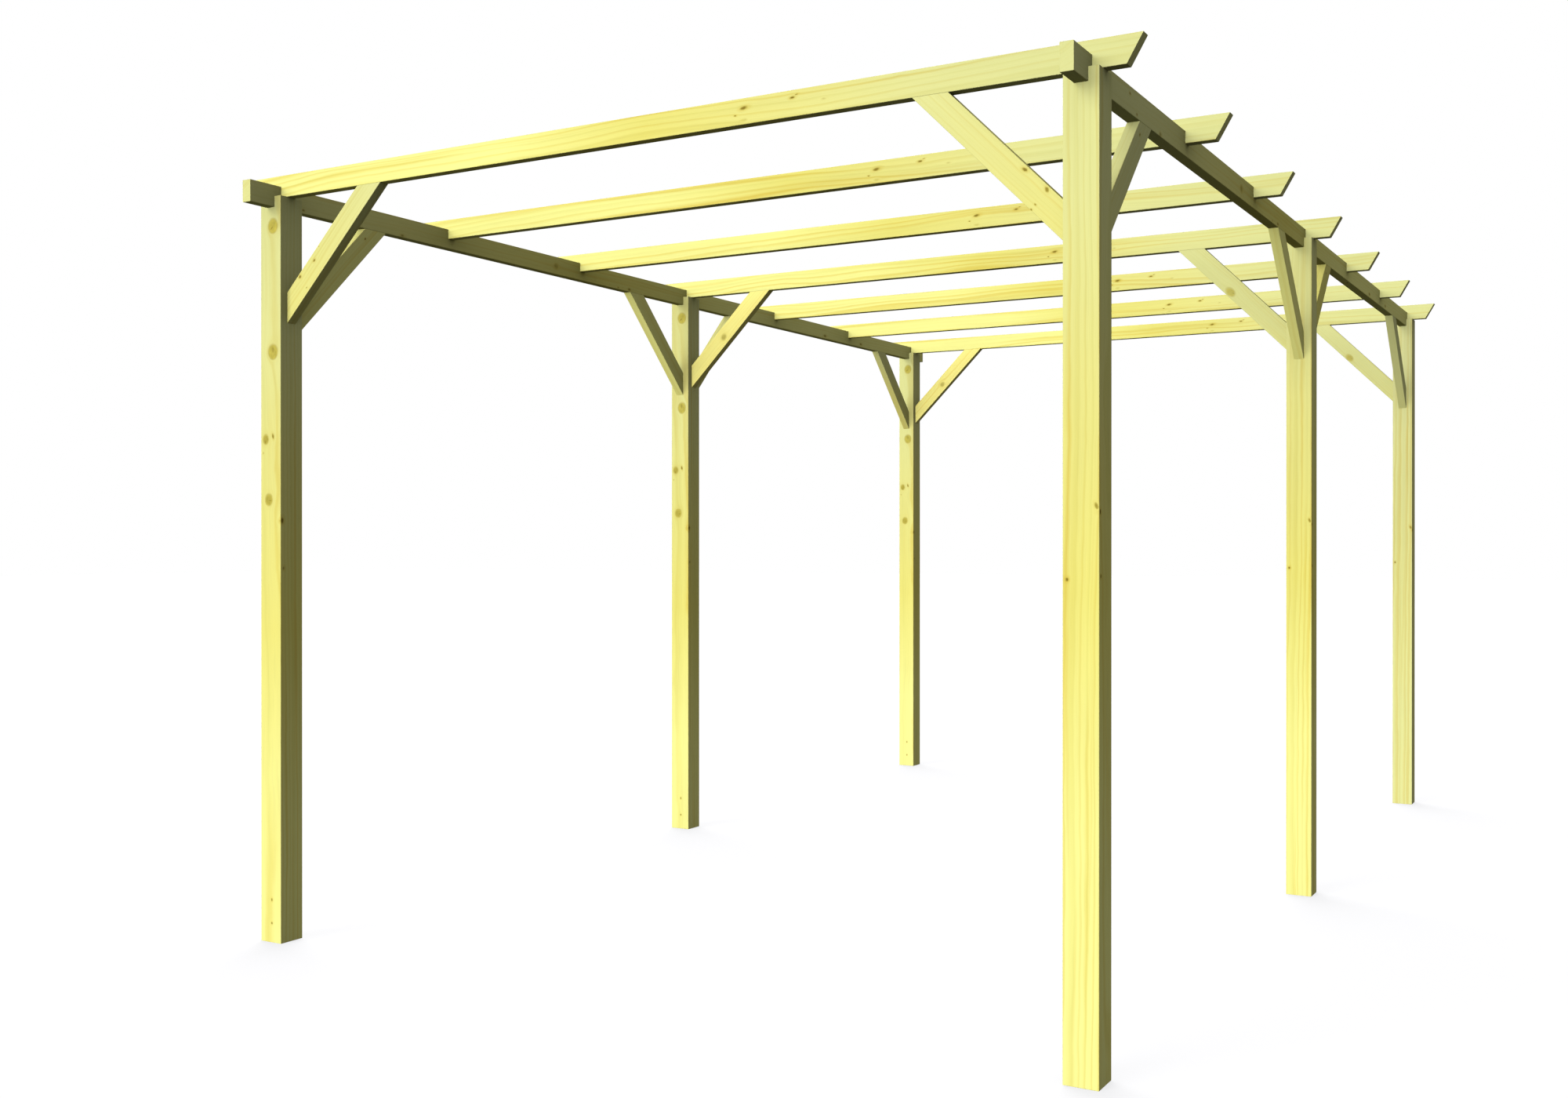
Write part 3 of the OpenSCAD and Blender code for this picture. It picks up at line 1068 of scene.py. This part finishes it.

# %% [markdown]
# The braces are offcuts of the same bars, and each comes from its own stretch of the log: those cut near
# the butt are bright, and those cut near the tip are cooler. The left braces under the middle and back
# rafters are lighter still, with painted light that lifts the soft shadow the front lamp casts on them.
# Under the front rafter they show small dark knots. Further back those on the left show a round one with
# a darker heart, and those on the right a broad pale one. A brace under a beam shows one small knot near
# its head.

# %% Finish of the braces
FRONT_LEFT_KNOTS = branches_out(
    "through",
    (0.186, 0.014, 0.010, 1.5, 0.9),
    (0.108, 0.026, 0.012, 1.3, 0.9),
    (0.231, 0.029, 0.003, 1.5, 0.7),
    (0.102, -0.021, 0.004, 2.0, 0.6),
)
FRONT_RIGHT_KNOTS = branches_out(
    "against",
    (0.174, 0.025, 0.011, 1.8, 0.9, 0.9, -0.2),
    (0.096, 0.026, 0.012, 1.4, 0.7, 0.9, 0.2),
    (0.094, -0.018, 0.005, 1.6, 0.5),
    (0.093, -0.033, 0.005, 1.6, 0.6),
)
PALE_KNOT = branches_out("against", (0.277, -0.018, 0.032, 1.5, 0.1, 0.75))
ROUND_KNOT = branches_out("through", (0.238, -0.004, 0.034, 1.15, 0.5, 0.65))
HEAD_KNOT = branches_out("through", (0.445, 0.010, 0.008, 1.5, 0.9))
# A share at LOG_START takes the stump colour, which is painted light against the front lamp's soft
# shadow.
AT_PAINTED_LIGHT_STUMP = (LOG_START, LOG_START)
NEAR_BUTT = (0.22, 0.14)
AT_HEART = (0.36, 0.5)
MIDWAY = (0.6, 0.82)
NEAR_TIP = (0.78, 1.0)
OFFCUTS = {
    "rafter_brace_front_left": (FRONT_LEFT_KNOTS, MIDWAY),
    "rafter_brace_front_right": (FRONT_RIGHT_KNOTS, MIDWAY),
    "beam_brace_front_left": (HEAD_KNOT, NEAR_BUTT),
    "beam_brace_middle_left_forward": (HEAD_KNOT, NEAR_BUTT),
    "beam_brace_middle_left_backward": (HEAD_KNOT, MIDWAY),
    "beam_brace_middle_right_forward": (HEAD_KNOT, NEAR_BUTT),
    "beam_brace_middle_right_backward": (HEAD_KNOT, AT_HEART),
    "beam_brace_back_left": (HEAD_KNOT, MIDWAY),
}
# The left rafter braces further back get the stump colour: painted light over the front lamp's soft
# shadow.
for row in ("middle", "back"):
    OFFCUTS[f"rafter_brace_{row}_left"] = (ROUND_KNOT, AT_PAINTED_LIGHT_STUMP)
    OFFCUTS[f"rafter_brace_{row}_right"] = (PALE_KNOT, NEAR_TIP)

halves = (BRACE_WIDTH / 2, beam_thickness / 2)
for number, node in enumerate(name for name in timbers if "brace" in name):
    own_branches, stretch = OFFCUTS.get(node, (HEAD_KNOT, NEAR_TIP))
    finish_timber(node, brace_length, halves, own_branches, seed=1.9 * number, pith=(0.08, -0.04),
                  ring_width=0.009, share=stretch, contrast=0.45)
print("brace finishes: done")

# %% [markdown]
# The dressed frame has to keep the measured sizes, so its box is written down.

# %% Size of the dressed frame
low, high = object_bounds()
print("dressed frame from", tuple(low), "to", tuple(high))
